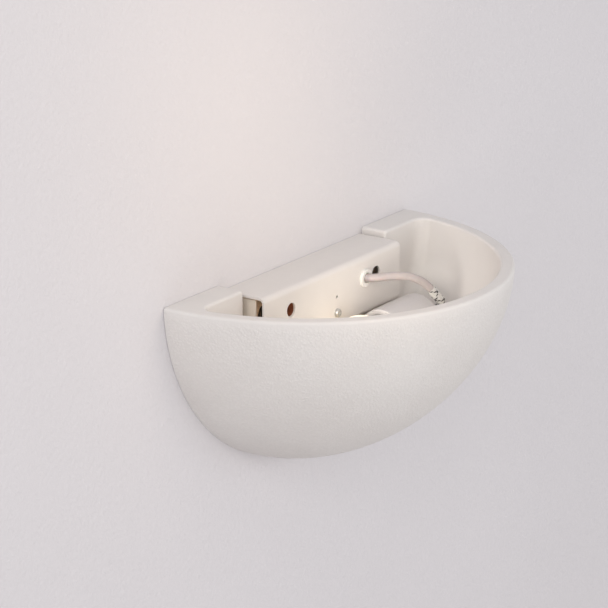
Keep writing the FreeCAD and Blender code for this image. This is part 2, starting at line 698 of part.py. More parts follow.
# ---- lampholder -------------------------------------------------------------------------------
def make_lampholder_arm():
    """Folded strip: a tab under the cover, and a leg that drops to the back of the holder."""
    front = cover_face + ARM_FROM_FACE
    back = front + ARM_WIDTH
    top = cover_bottom
    tab = box(arm_outer - ARM_TAB, arm_outer, front, back, top - SHEET, top)
    leg = box(arm_inner, arm_outer, lamp_y, back, top - ARM_WIDTH, top)
    arm = fuse([tab, leg])
    fold = edges_where(arm, lambda b: near(b.XMin, arm_outer) and near(b.XMax, arm_outer) and
                       near(b.ZMin, top) and near(b.ZMax, top))
    arm = arm.makeFillet(ARM_BEND, fold)
    arm = fuse([arm, rod(ARM_HEAD_R, on_axis(arm_inner), on_axis(arm_outer))])
    holes = [rod(RIVET_R + FIT, V(x, rivet_y, top - SHEET - 1), V(x, rivet_y, top + 1)) for x in rivet_x]
    holes.append(rod(NIPPLE_R + FIT, on_axis(arm_inner - 1), on_axis(arm_outer + 1)))
    return cut_all(arm, holes)


def make_arm_rivets():
    rivets = []
    low = cover_bottom - SHEET
    high = cover_bottom + SHEET
    for x in rivet_x:
        shank = rod(RIVET_R, V(x, rivet_y, low), V(x, rivet_y, high))
        heads = [rod(RIVET_HEAD_R, V(x, rivet_y, low - RIVET_HEAD), V(x, rivet_y, low)),
                 rod(RIVET_TAIL_R, V(x, rivet_y, high), V(x, rivet_y, high + RIVET_HEAD))]
        rivets.append(fuse([shank] + heads))
    return group(rivets)


def make_nipple():
    """Hollow threaded stem. Its flange bears on the arm's washer, outside."""
    washer_face = arm_outer + WASHER
    inner_end = holder_back - HOLDER_WALL - NUT_THICK - NIPPLE_PAST_NUT
    outer_end = washer_face + NIPPLE_FLANGE
    return turned([(inner_end, NIPPLE_BORE_R), (inner_end, NIPPLE_R), (washer_face, NIPPLE_R),
                   (washer_face, NIPPLE_FLANGE_R), (outer_end - NIPPLE_EDGE, NIPPLE_FLANGE_R),
                   (outer_end, NIPPLE_FLANGE_R - NIPPLE_EDGE), (outer_end, NIPPLE_BORE_R + NIPPLE_EDGE),
                   (outer_end - NIPPLE_EDGE, NIPPLE_BORE_R)])


def make_nipple_nut():
    start = on_axis(holder_back - HOLDER_WALL - NUT_THICK)
    end = on_axis(holder_back - HOLDER_WALL)
    return hexagon(NUT_ACROSS, start, end).cut(rod(NIPPLE_R + FIT, start - X, end + X))


def make_nipple_washer():
    return tube(NIPPLE_FLANGE_R + 1, NIPPLE_R + FIT, on_axis(arm_outer), on_axis(arm_outer + WASHER))


def make_holder_shell():
    shoulder = base_front - THREAD_SHEET - SEAT
    inside = HOLDER_R - HOLDER_WALL
    shell = turned([(holder_mouth, HOLDER_SKIRT_R), (holder_mouth, HOLDER_R),
                    (holder_split, HOLDER_R), (holder_split, inside), (shoulder, inside),
                    (shoulder, HOLDER_SKIRT_R)])
    mouth = edges_where(shell, lambda b: near(b.XMin, holder_mouth) and near(b.XMax, holder_mouth))
    return shell.makeFillet(HOLDER_LIP_ROUND, mouth)


def make_holder_cap():
    """Rear cap. Its spigot enters the shell and holds the base against the shoulder."""
    inside = HOLDER_R - HOLDER_WALL
    spigot = inside - FIT
    start = holder_split + FIT
    cap = turned([(base_back + SEAT, spigot - HOLDER_WALL), (base_back + SEAT, spigot), (start, spigot),
                  (start, HOLDER_R), (holder_back, HOLDER_R), (holder_back, NIPPLE_R + FIT),
                  (holder_back - HOLDER_WALL, NIPPLE_R + FIT),
                  (holder_back - HOLDER_WALL, spigot - HOLDER_WALL)])
    shoulder = edges_where(cap, lambda b: near(b.XMin, holder_back) and near(b.XMax, holder_back) and
                           b.ZMax - b.ZMin > HOLDER_R)
    return cap.makeFillet(HOLDER_ROUND, shoulder)


def make_holder_base():
    """Insulating disc that carries the contacts."""
    base = rod(HOLDER_R - HOLDER_WALL - SEAT, on_axis(base_front), on_axis(base_back))
    posts = [rod(TERMINAL_POST_R + FIT, on_axis(base_front - 1, up), on_axis(base_back + 1, up))
             for up in (-TERMINAL_OFFSET, TERMINAL_OFFSET)]
    half = CONTACT_WIDTH / 2
    groove = box(base_front - 1, base_front + CONTACT_SHEET, lamp_y - half - FIT, lamp_y + half + FIT,
                 lamp_z + TERMINAL_OFFSET - half, lamp_z + SIDE_TAB_REACH + FIT)
    return cut_all(base, posts + [groove])


def make_thread_shell():
    """Rolled sheet shell, its thread as rings, with a flange clamped on the base."""
    inner = zigzag(base_front - THREAD_FROM_BASE - THREAD_RINGS * THREAD_PITCH, THREAD_BORE_R,
                   THREAD_BORE_R + THREAD_RIB, THREAD_RINGS)
    outer = [(x, r + THREAD_SHEET) for x, r in reversed(inner)]
    flange_r = HOLDER_R - HOLDER_WALL - 2 * SEAT
    flange = [(base_front, THREAD_BORE_R), (base_front, flange_r), (base_front - THREAD_SHEET, flange_r),
              (base_front - THREAD_SHEET, THREAD_BORE_R + THREAD_SHEET)]
    return turned(inner + flange + outer)


def terminal(up, front):
    """Post through the base with a drilled block behind it for a core and its screw."""
    half = TERMINAL_SIZE / 2
    back = base_back + TERMINAL_SIZE
    block = box(base_back, back, lamp_y - half, lamp_y + half, lamp_z + up - half, lamp_z + up + half)
    middle = base_back + half
    body = fuse([block, rod(TERMINAL_POST_R, on_axis(front, up), on_axis(base_back + 1, up))])
    wire = rod(WIRE_R + FIT, on_axis(middle, 0), on_axis(middle, up))
    screw = rod(CLAMP_SCREW_R + FIT, on_axis(middle, up), on_axis(back + 1, up))
    return cut_all(body, [wire, screw])


def make_centre_contact():
    """Leaf spring under the lamp's tip, with its terminal behind the base."""
    foot_x = base_front - CONTACT_SHEET
    top_x = foot_x - CONTACT_RISE
    half_sheet = CONTACT_SHEET / 2
    line = [(-CONTACT_FOOT, foot_x), (-CONTACT_KNEE, foot_x), (-CONTACT_FLAT, top_x), (CONTACT_FLAT, top_x),
            (CONTACT_FLAT, top_x + CONTACT_SHEET), (half_sheet - CONTACT_FLAT, top_x + CONTACT_SHEET),
            (half_sheet - CONTACT_KNEE, base_front), (-CONTACT_FOOT, base_front)]
    corners = [V(x, lamp_y - CONTACT_WIDTH / 2, lamp_z + up) for up, x in line]
    leaf = Part.Face(Part.makePolygon(corners + corners[:1])).extrude(Y * CONTACT_WIDTH)
    return fuse([leaf, terminal(-TERMINAL_OFFSET, foot_x)])


def make_side_contact():
    """Tab under the thread shell's flange, with its terminal behind the base."""
    half = CONTACT_WIDTH / 2
    tab = box(base_front, base_front + CONTACT_SHEET, lamp_y - half, lamp_y + half,
              lamp_z + TERMINAL_OFFSET - half + FIT, lamp_z + SIDE_TAB_REACH)
    return fuse([tab, terminal(TERMINAL_OFFSET, base_front)])


def make_holder_terminal_screws():
    back = base_back + TERMINAL_SIZE
    tip = base_back + TERMINAL_SIZE / 2 + WIRE_R + SEAT
    return group([pan_screw(CLAMP_SCREW_R, TERMINAL_HEAD_R, TERMINAL_HEAD,
                            on_axis(back, up), on_axis(tip, up))
                  for up in (-TERMINAL_OFFSET, TERMINAL_OFFSET)])


# ---- lamp -------------------------------------------------------------------------------------
def make_lamp_tip():
    back = lamp_tip - TIP_THICK
    return turned([(back, 0), (back, TIP_R), (lamp_tip - TIP_EDGE, TIP_R),
                   (lamp_tip, TIP_R - 2 * TIP_EDGE), (lamp_tip, 0)])


def make_lamp_insulator():
    """Black cone between the tip and the threaded cap."""
    front = lamp_tip - TIP_THICK
    mouth = CAP_R - CAP_RIB - CAP_NECK - CAP_SHEET - 2 * SEAT
    back = front - INSULATOR_LENGTH
    rim = front - INSULATOR_RIM
    return turned([(back, 0), (back, mouth), (rim, mouth), (rim, mouth + CAP_SHEET),
                   (front, TIP_R + INSULATOR_WALL), (front, 0)])


def make_lamp_cap():
    """Rolled sheet cap, its thread as rings."""
    root = CAP_R - CAP_RIB
    end = lamp_tip - CAP_TO_TIP
    thread_end = end - CAP_LAST_LAND
    start = thread_end - CAP_RINGS * THREAD_PITCH
    outer = [(collar_back + SEAT, CAP_R), (start - THREAD_PITCH / 2, CAP_R)]
    outer += zigzag(start, root, CAP_R, CAP_RINGS) + [(end, root - CAP_NECK)]
    inner = [(x, r - CAP_SHEET) for x, r in reversed(outer)]
    return turned(outer + inner)


def make_lamp_collar():
    """Neck between the dome and the cap, hollow behind its front plate."""
    spigot = CAP_R - CAP_RIB - CAP_SHEET - 2 * SEAT
    inside = spigot - COLLAR_SPIGOT_WALL
    front = collar_front + FIT
    plate = front + COLLAR_PLATE
    end = collar_back + COLLAR_SPIGOT
    return turned([(front, 0), (front, DOME_SEAT_R), (plate, DOME_SEAT_R),
                   (front + COLLAR_LENGTH * 0.6, (DOME_SEAT_R + COLLAR_END_R) / 2),
                   (collar_back, COLLAR_END_R), (collar_back, spigot), (end, spigot),
                   (end, inside), (plate, inside), (plate, 0)])


def make_lamp_dome():
    centre = on_axis(dome_x)
    dome = Part.makeSphere(DOME_R, centre).cut(Part.makeSphere(DOME_R - DOME_SKIN, centre))
    reach = 2 * DOME_R
    return dome.cut(box(collar_front, collar_front + reach, lamp_y - reach, lamp_y + reach,
                        lamp_z - reach, lamp_z + reach))


def make_lamp_board():
    front = collar_front + FIT
    return rod(BOARD_R, on_axis(front - BOARD_THICK), on_axis(front))


def make_lamp_emitters():
    front = collar_front + FIT - BOARD_THICK
    half = EMITTER_SIZE / 2
    chips = []
    for i in range(EMITTER_COUNT):
        turn = 2 * math.pi * i / EMITTER_COUNT
        centre = on_axis(front, EMITTER_RING_R * math.sin(turn), EMITTER_RING_R * math.cos(turn))
        chips.append(box(front - EMITTER_THICK, front, centre.y - half, centre.y + half,
                         centre.z - half, centre.z + half))
    return group(chips)


def make_lamp_driver():
    """Circuit board that stands on the back of the collar's plate."""
    plate = collar_front + FIT + COLLAR_PLATE
    return box(plate, lamp_tip - DRIVER_TO_TIP, lamp_y - DRIVER_THICK / 2, lamp_y + DRIVER_THICK / 2,
               lamp_z - DRIVER_WIDTH / 2, lamp_z + DRIVER_WIDTH / 2)


PARTS = {
    "bowl": make_bowl,
    "cover": make_cover,
    "wall_tray": make_wall_tray,
    "cover_pillar": make_cover_pillar,
    "cover_screw": make_cover_screw,
    "lead_grommet": make_lead_grommet,
    "entry_grommet": make_entry_grommet,
    "lamp_lead": make_lamp_lead,
    "braided_sleeve": make_braided_sleeve,
    "live_core": make_live_core,
    "neutral_core": make_neutral_core,
    "earth_link": make_earth_link,
    "earth_lug": make_earth_lug,
    "earth_washer": make_earth_washer,
    "earth_screw": make_earth_screw,
    "terminal_block": make_terminal_block,
    "terminal_clamps": make_terminal_clamps,
    "terminal_screws": make_terminal_screws,
    "block_screw": make_block_screw,
    "cord_clamp_base": make_cord_clamp_base,
    "cord_clamp_bridge": make_cord_clamp_bridge,
    "cord_clamp_screws": make_cord_clamp_screws,
    "lampholder_arm": make_lampholder_arm,
    "arm_rivets": make_arm_rivets,
    "nipple": make_nipple,
    "nipple_nut": make_nipple_nut,
    "nipple_washer": make_nipple_washer,
    "holder_shell": make_holder_shell,
    "holder_cap": make_holder_cap,
    "holder_base": make_holder_base,
    "thread_shell": make_thread_shell,
    "centre_contact": make_centre_contact,
    "side_contact": make_side_contact,
    "holder_terminal_screws": make_holder_terminal_screws,
    "lamp_dome": make_lamp_dome,
    "lamp_collar": make_lamp_collar,
    "lamp_cap": make_lamp_cap,
    "lamp_board": make_lamp_board,
    "lamp_emitters": make_lamp_emitters,
    "lamp_driver": make_lamp_driver,
    "lamp_insulator": make_lamp_insulator,
    "lamp_tip": make_lamp_tip,
}

os.makedirs("parts", exist_ok=True)
for node, make in PARTS.items():
    shape = make()
    shape.exportStep("parts/%s.step" % node)
    print("%-24s solids %d  valid %s  volume %.1f" % (node, len(shape.Solids), shape.isValid(), shape.Volume))
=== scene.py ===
"""Looks of the uplighter wall sconce: materials, lead, braid, wires, wall, light and camera."""
import json
import math

import bmesh
import bpy
from mathutils import Matrix, Vector


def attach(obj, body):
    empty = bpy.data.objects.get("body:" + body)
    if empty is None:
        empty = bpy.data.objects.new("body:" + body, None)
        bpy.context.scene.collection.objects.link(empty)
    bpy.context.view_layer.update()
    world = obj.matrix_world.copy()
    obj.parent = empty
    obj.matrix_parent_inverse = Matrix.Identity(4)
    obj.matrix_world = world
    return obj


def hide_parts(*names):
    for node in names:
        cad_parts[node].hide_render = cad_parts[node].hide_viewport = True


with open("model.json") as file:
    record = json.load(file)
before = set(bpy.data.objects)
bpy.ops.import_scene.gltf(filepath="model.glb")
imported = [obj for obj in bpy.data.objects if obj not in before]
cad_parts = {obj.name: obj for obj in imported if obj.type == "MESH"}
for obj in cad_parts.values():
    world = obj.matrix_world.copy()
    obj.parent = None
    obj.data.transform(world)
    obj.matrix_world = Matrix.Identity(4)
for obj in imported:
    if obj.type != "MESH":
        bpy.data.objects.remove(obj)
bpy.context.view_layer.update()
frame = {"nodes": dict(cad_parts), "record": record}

MM = 0.001

# ---- sizes, in millimetres ----------------------------------------------------------------------
LEAD_ROUTE = [
    (6.0, -9.0, 0.0), (24.0, -9.0, 0.0), (38.5, -23.5, 0.0), (38.5, -41.5, 0.0),
    (49.5, -52.5, 1.6), (60.0, -62.0, 0.0), (70.0, -69.0, -6.5), (80.5, -73.0, -20.0),
    (88.9, -72.5, -26.0), (90.9, -66.3, -32.8), (85.1, -60.0, -37.0), (67.5, -60.0, -37.0),
]
LEAD_R = 3.0
BRAID_R = 3.3
BRAID_START_X = 73.7      # the sleeve covers the lead from here, on its way round the arm
BRAID_END_X = 73.8        # and ends inside the nipple
BRAID_STRANDS = 10        # in each direction
BRAID_TURN = 21.0         # length in which a strand goes once round
TRACER_EVERY = 5          # one dark yarn in so many

WIRE_R = 1.1
WIRES = [                 # node, material slot and the route of each run
    ("live_core", "brown_core", [
        [(6, -9, 1.4), (2, -9, 1.4), (-4, -9.5, 3.5), (-12, -9.5, 3.5)],
        [(67.5, -60, -35.6), (63.5, -60, -35.6), (63.5, -60, -29)],
    ]),
    ("neutral_core", "blue_core", [
        [(6, -9, -1.4), (2, -9, -1.4), (-4, -9.5, -6.5), (-12, -9.5, -6.5)],
        [(67.5, -60, -38.4), (63.5, -60, -38.4), (63.5, -60, -45)],
    ]),
    ("earth_link", "green_core", [
        [(-12, -9.5, -16.5), (-4.8, -9.5, -16.5), (-2.8, -7.2, -11.7), (5.2, -4.8, -11.7),
         (12.5, -3.3, -15), (20, -3.3, -15)],
    ]),
]

WALL_Y = 0.5 * MM         # the wall just behind the object
TOUCHING = 1.2 * MM       # light passes the wall to surfaces nearer than this

# ---- camera -------------------------------------------------------------------------------------
CAMERA_AT = (-1.2670, -0.90385, 0.4905)
CAMERA_RIGHT = (0.57619, -0.81731, -0.00244)
CAMERA_UP = (0.25461, 0.17666, 0.95077)
CAMERA_BACK = (-0.77665, -0.54844, 0.30989)
LENS = 133.51


def make_camera():
    data = bpy.data.cameras.new("camera")
    data.lens = LENS
    data.sensor_width = 36
    data.clip_end = 20
    camera = bpy.data.objects.new("camera", data)
    bpy.context.scene.collection.objects.link(camera)
    turn = Matrix((CAMERA_RIGHT, CAMERA_UP, CAMERA_BACK)).transposed()
    camera.matrix_world = Matrix.Translation(CAMERA_AT) @ turn.to_4x4()
    bpy.context.scene.camera = camera


# ---- materials ----------------------------------------------------------------------------------
class Material:
    """A node material, and short calls that add nodes to it."""

    def __init__(self, name):
        self.mat = bpy.data.materials.new(name)
        self.mat.use_nodes = True
        self.nodes = self.mat.node_tree.nodes
        self.links = self.mat.node_tree.links
        self.bsdf = self.nodes["Principled BSDF"]
        self.place = self.add("ShaderNodeTexCoord").outputs["Object"]

    def add(self, kind, **settings):
        node = self.nodes.new(kind)
        for key, value in settings.items():
            setattr(node, key, value)
        return node

    def feed(self, socket, value):
        """Links an output to an input, or sets the input's value."""
        if isinstance(value, bpy.types.NodeSocket):
            self.links.new(value, socket)
        else:
            socket.default_value = value

    def noise(self, scale, detail=3.0, roughness=0.55, stretch=None):
        """Noise in object space. The scale is in features per metre."""
        node = self.add("ShaderNodeTexNoise")
        self.feed(node.inputs["Vector"], self.stretched(stretch))
        node.inputs["Scale"].default_value = scale
        node.inputs["Detail"].default_value = detail
        node.inputs["Roughness"].default_value = roughness
        return node.outputs["Fac"]

    def stretched(self, stretch):
        if stretch is None:
            return self.place
        node = self.add("ShaderNodeMapping")
        self.feed(node.inputs["Vector"], self.place)
        node.inputs["Scale"].default_value = stretch
        return node.outputs["Vector"]

    def cells(self, scale, feature="SMOOTH_F1", smooth=0.6):
        node = self.add("ShaderNodeTexVoronoi", feature=feature)
        self.feed(node.inputs["Vector"], self.place)
        node.inputs["Scale"].default_value = scale
        if feature == "SMOOTH_F1":
            node.inputs["Smoothness"].default_value = smooth
        return node.outputs["Distance"]

    def ramp(self, value, low, high, to_low=0.0, to_high=1.0):
        """Maps a range to another, with its ends held."""
        node = self.add("ShaderNodeMapRange")
        self.feed(node.inputs["Value"], value)
        ends = {"From Min": low, "From Max": high, "To Min": to_low, "To Max": to_high}
        for name, number in ends.items():
            node.inputs[name].default_value = number
        return node.outputs["Result"]

    def math(self, operation, a, b=0.0):
        node = self.add("ShaderNodeMath", operation=operation)
        self.feed(node.inputs[0], a)
        self.feed(node.inputs[1], b)
        return node.outputs["Value"]

    def vector(self, operation, a, b):
        node = self.add("ShaderNodeVectorMath", operation=operation)
        self.feed(node.inputs[0], a)
        self.feed(node.inputs[1], b)
        return node.outputs["Value" if operation == "DOT_PRODUCT" else "Vector"]

    def mix(self, factor, a, b):
        """Colour mixed by a factor."""
        node = self.add("ShaderNodeMix", data_type="RGBA")
        self.feed(node.inputs["Factor"], factor)
        self.feed(node.inputs["A"], a if isinstance(a, bpy.types.NodeSocket) else (*a, 1))
        self.feed(node.inputs["B"], b if isinstance(b, bpy.types.NodeSocket) else (*b, 1))
        return node.outputs["Result"]

    def split(self, vector):
        node = self.add("ShaderNodeSeparateXYZ")
        self.feed(node.inputs[0], vector)
        return node.outputs

    def rounded(self, radius):
        """Normal with the edges rounded."""
        node = self.add("ShaderNodeBevel", samples=6)
        node.inputs["Radius"].default_value = radius
        return node.outputs["Normal"]

    def edge_mask(self, rounded):
        """1 on edges, 0 on open faces."""
        flat = self.add("ShaderNodeNewGeometry").outputs["Normal"]
        return self.ramp(self.vector("DOT_PRODUCT", rounded, flat), 0.80, 0.995, 1.0, 0.0)

    def bump(self, height, depth, normal=None, strength=1.0):
        """Bump whose height of 1 stands for the depth in metres."""
        node = self.add("ShaderNodeBump")
        self.feed(node.inputs["Height"], height)
        self.feed(node.inputs["Strength"], strength)
        node.inputs["Distance"].default_value = depth
        if normal is not None:
            self.feed(node.inputs["Normal"], normal)
        return node.outputs["Normal"]

    def set(self, **inputs):
        """Sets the shader's inputs. An underscore in a name stands for a space."""
        for name, value in inputs.items():
            self.feed(self.bsdf.inputs[name.replace("_", " ")], value)


def shade(color, amount):
    return tuple(min(1.0, c * amount) for c in color)


def finish(name, color, rough, tint=0.03, tint_scale=60.0, grain_scale=2500.0, grain=0.00003,
           edge=0.0003, worn=None, wear=0.4, stretch=None, **sockets):
    """Surface with soft colour variation, uneven gloss, fine grain and worn edges."""
    m = Material(name)
    patches = m.noise(tint_scale, 4.0)
    tone = m.mix(m.ramp(patches, 0.3, 0.7), shade(color, 1 - tint), shade(color, 1 + tint))
    rounded = m.rounded(edge)
    if worn is not None:
        broken = m.math("MULTIPLY", m.edge_mask(rounded), m.ramp(m.noise(900.0, 5.0), 0.45, 0.6))
        tone = m.mix(m.math("MULTIPLY", broken, wear), tone, worn)
    m.set(Base_Color=tone)
    m.set(Roughness=m.ramp(m.noise(tint_scale * 3, 5.0), 0.3, 0.7, rough * 0.88, min(1.0, rough * 1.12)))
    m.set(Normal=m.bump(m.noise(grain_scale, 3.0, stretch=stretch), grain, rounded))
    m.set(**sockets)
    return m.mat


def cast_material():
    """Matt cast body, pebbled outside and smooth inside, with a smooth rim and painted shade in the hollows
    between the pebbles.
    """
    m = Material("cast")
    geometry = m.add("ShaderNodeNewGeometry")
    place = m.split(m.place)
    from_middle = m.vector("SUBTRACT", m.place, (0, -30 * MM, 20.5 * MM))
    outward = m.vector("DOT_PRODUCT", from_middle, geometry.outputs["Normal"])
    outside = m.ramp(outward, 0.004, 0.02)
    outside = m.math("MULTIPLY", outside, m.ramp(place["Y"], -0.4 * MM, -3 * MM, 0.0, 1.0))
    outside = m.math("MULTIPLY", outside, m.ramp(place["Z"], 19.0 * MM, 13.0 * MM))
    pebbles = m.ramp(m.cells(540.0), 0.10, 0.62, 1.0, 0.0)
    small = m.ramp(m.cells(1150.0), 0.10, 0.62, 1.0, 0.0)
    drift = m.noise(150.0, 4.0)
    height = m.math("ADD", m.math("MULTIPLY", pebbles, m.ramp(drift, 0.3, 0.7, 0.55, 1.0)),
                    m.math("MULTIPLY", small, 0.35))
    skin = m.bump(m.math("MULTIPLY", height, outside), 0.24 * MM, m.rounded(0.8 * MM))
    skin = m.bump(m.noise(26.0, 3.0), 0.8 * MM, skin)
    skin = m.bump(m.noise(1800.0, 3.0), 0.03 * MM, skin)
    clay = m.mix(m.ramp(m.noise(18.0, 4.0), 0.3, 0.7), (0.735, 0.700, 0.672), (0.765, 0.735, 0.708))
    # painted shade: the hollows between the pebbles outside are darkened towards grey-brown, standing in
    # for the shade that falls in them
    painted_hollow_shade = m.math("MULTIPLY", m.ramp(height, 0.15, 0.6, 1.0, 0.0), outside)
    clay = m.mix(m.math("MULTIPLY", painted_hollow_shade, 0.10), clay, (0.52, 0.48, 0.45))
    m.set(Base_Color=clay, Roughness=m.ramp(drift, 0.3, 0.7, 0.78, 0.92), Normal=skin,
          Specular_IOR_Level=0.35)
    return m.mat


def sheath_material():
    """Smooth silicone sheath, with the slight waviness of an extruded skin."""
    m = Material("lead_sheath")
    tone = m.mix(m.ramp(m.noise(160.0, 3.0), 0.3, 0.7), (0.46, 0.405, 0.390), (0.50, 0.445, 0.430))
    skin = m.bump(m.noise(420.0, 2.0), 0.10 * MM)
    skin = m.bump(m.noise(3000.0, 2.0), 0.01 * MM, skin)
    m.set(Base_Color=tone, Roughness=m.ramp(m.noise(300.0, 4.0), 0.3, 0.7, 0.34, 0.46), Normal=skin,
          Subsurface_Weight=0.08, Subsurface_Scale=1.0 * MM)
    return m.mat


def fibre_material(name, color, sheen):
    """Woven glass yarn, its fine fibres running along the strand."""
    m = Material(name)
    fibres = m.noise(5200.0, 2.0)
    m.set(Base_Color=m.mix(m.ramp(fibres, 0.3, 0.7), shade(color, 0.78), shade(color, 1.08)),
          Roughness=m.ramp(m.noise(900.0), 0.3, 0.7, 0.55, 0.8), Normal=m.bump(fibres, 0.05 * MM),
          Sheen_Weight=sheen, Sheen_Roughness=0.4)
    return m.mat


def lit_side_and_striped_material(name, base, stripe_and_lit_side, across):
    """Insulation with a second colour on the side that faces across. On the earth wire it is the real
    yellow stripe; on the brown and blue cores it is a lighter shade of their own colour, painted light on
    their lit side.
    """
    m = Material(name)
    normal = m.add("ShaderNodeNewGeometry").outputs["Normal"]
    facing = m.ramp(m.vector("DOT_PRODUCT", normal, across), 0.15, 0.22)
    tone = m.mix(m.ramp(m.noise(300.0), 0.3, 0.7), shade(base, 0.92), shade(base, 1.06))
    # the side that faces across gets the second colour: the earth wire's real stripe, and painted light on
    # the lit side of the brown and blue cores
    m.set(Base_Color=m.mix(facing, tone, stripe_and_lit_side), Roughness=m.ramp(m.noise(500.0), 0.3, 0.7, 0.38, 0.5),
          Normal=m.bump(m.noise(1500.0), 0.02 * MM))
    return m.mat


def opal_material():
    """Lit diffuser: a warm glow, a little brighter towards its crown."""
    m = Material("opal")
    crown = m.ramp(m.split(m.place)["X"], 14 * MM, -22 * MM)
    glow = m.mix(crown, (1.0, 0.76, 0.42), (1.0, 0.84, 0.58))
    m.set(Base_Color=m.mix(m.ramp(m.noise(120.0), 0.3, 0.7), (0.86, 0.85, 0.82), (0.89, 0.88, 0.86)),
          Roughness=m.ramp(m.noise(200.0), 0.3, 0.7, 0.36, 0.46), Normal=m.bump(m.noise(1400.0), 0.01 * MM),
          Emission_Color=glow, Emission_Strength=0.6)
    return m.mat


def metal(name, color, rough, stretch=(1, 1, 1), **more):
    return finish(name, color, rough, tint=0.05, tint_scale=350.0, grain_scale=1600.0, grain=0.00002,
                  edge=0.00012, worn=shade(color, 1.25), wear=0.7, stretch=stretch, Metallic=1.0, **more)


def make_materials():
    """The finish of each material slot."""
    paint_wear = (0.62, 0.60, 0.57)
    return {
        "cast": cast_material(),
        "white_sheet": finish("white_sheet", (0.755, 0.715, 0.680), 0.42, tint=0.012, grain_scale=1500.0,
                              grain=0.00007, worn=paint_wear, wear=0.25, Coat_Weight=0.15),
        "zinc_sheet": finish("zinc_sheet", (0.80, 0.72, 0.62), 0.46, tint=0.05, tint_scale=90.0,
                             grain_scale=1200.0, grain=0.00006, worn=(0.45, 0.42, 0.38), wear=0.5),
        "steel": metal("steel", (0.60, 0.59, 0.57), 0.34),
        "white_rubber": finish("white_rubber", (0.78, 0.755, 0.72), 0.5, grain_scale=1800.0, grain=0.00003,
                               Subsurface_Weight=0.05, Subsurface_Scale=0.001),
        "black_rubber": finish("black_rubber", (0.030, 0.029, 0.028), 0.62, tint=0.12,
                               worn=(0.09, 0.09, 0.09)),
        "lead_sheath": sheath_material(),
        "braid": fibre_material("braid", (0.74, 0.72, 0.68), 0.2),
        "braid_tracer": fibre_material("braid_tracer", (0.020, 0.018, 0.017), 0.1),
        # brown and blue cores: their second colour is painted light on the side facing the front; the green
        # core's yellow is its real stripe
        "brown_core": lit_side_and_striped_material("brown_core", (0.150, 0.050, 0.020), (0.19, 0.07, 0.03), (0, -1, 0)),
        "blue_core": lit_side_and_striped_material("blue_core", (0.020, 0.100, 0.420), (0.03, 0.14, 0.50), (0, -1, 0)),
        "green_core": lit_side_and_striped_material("green_core", (0.060, 0.280, 0.050), (0.75, 0.60, 0.04),
                                       (0, -0.8, 0.6)),
        "brass": metal("brass", (0.62, 0.46, 0.18), 0.32),
        "block_plastic": finish("block_plastic", (0.420, 0.170, 0.110), 0.45, tint=0.08, tint_scale=200.0,
                                grain_scale=1800.0, worn=(0.52, 0.26, 0.18)),
        "clamp_plastic": finish("clamp_plastic", (0.66, 0.64, 0.58), 0.5, grain_scale=1400.0,
                                worn=(0.78, 0.77, 0.73)),
        "holder_plastic": finish("holder_plastic", (0.620, 0.590, 0.580), 0.33, tint=0.015,
                                 grain_scale=900.0, grain=0.00002, edge=0.0005, worn=(0.74, 0.72, 0.70),
                                 wear=0.25, Coat_Weight=0.2, Coat_Roughness=0.2),
        "base_plastic": finish("base_plastic", (0.72, 0.70, 0.66), 0.6, grain_scale=1100.0, grain=0.00008,
                               worn=(0.80, 0.79, 0.76)),
        "opal": opal_material(),
        "lamp_plastic": finish("lamp_plastic", (0.74, 0.735, 0.72), 0.38, tint=0.012, grain_scale=1300.0,
                               edge=0.0004, worn=(0.82, 0.82, 0.81), wear=0.3),
        "lamp_cap_metal": metal("lamp_cap_metal", (0.72, 0.72, 0.71), 0.28),
        "board": finish("board", (0.70, 0.70, 0.66), 0.4, tint=0.03, tint_scale=400.0),
        "emitter": finish("emitter", (0.80, 0.58, 0.14), 0.35, tint=0.06, tint_scale=600.0),
        "lamp_glass_black": finish("lamp_glass_black", (0.020, 0.018, 0.018), 0.3, tint=0.1,
                                   worn=(0.07, 0.07, 0.07)),
    }


def dress_cad(materials):
    """Gives every CAD node the material of its slot."""
    for row in frame["record"]["subparts"]:
        node = frame["nodes"][row["node"]]
        node.data.materials.clear()
        node.data.materials.append(materials[row["material_slot"]])


# ---- lead, braid and wires ----------------------------------------------------------------------
def nurbs(name, points, radius, material, resolution=24):
    """Round cord on one smooth line. The points are its control points, in millimetres."""
    curve = bpy.data.curves.new(name, "CURVE")
    curve.dimensions = "3D"
    spline = curve.splines.new("NURBS")
    spline.points.add(len(points) - 1)
    for point, place in zip(spline.points, points):
        point.co = (*(c * MM for c in place), 1)
    spline.order_u = 3
    spline.use_endpoint_u = True
    spline.use_smooth = True
    spline.resolution_u = resolution
    curve.bevel_depth = radius * MM
    curve.bevel_resolution = 8
    curve.use_fill_caps = True
    curve.materials.append(material)
    piece = bpy.data.objects.new(name, curve)
    bpy.context.scene.collection.objects.link(piece)
    return piece


def line_of(piece):
    """Points along a cord's own line."""
    curve = piece.data.copy()
    curve.bevel_depth = 0
    bare = bpy.data.objects.new("line", curve)
    mesh = bpy.data.meshes.new_from_object(bare)
    points = [v.co.copy() for v in mesh.vertices]
    bpy.data.objects.remove(bare)
    bpy.data.curves.remove(curve)
    bpy.data.meshes.remove(mesh)
    return points


def frames_along(points):
    """Each point with two cross directions that don't twist along the line."""
    rows = []
    side = None
    for i, point in enumerate(points):
        ahead = (points[min(i + 1, len(points) - 1)] - points[max(i - 1, 0)]).normalized()
        if side is None:
            side = ahead.orthogonal()
        side = (side - ahead * side.dot(ahead)).normalized()
        rows.append((point, side.copy(), ahead.cross(side)))
    return rows


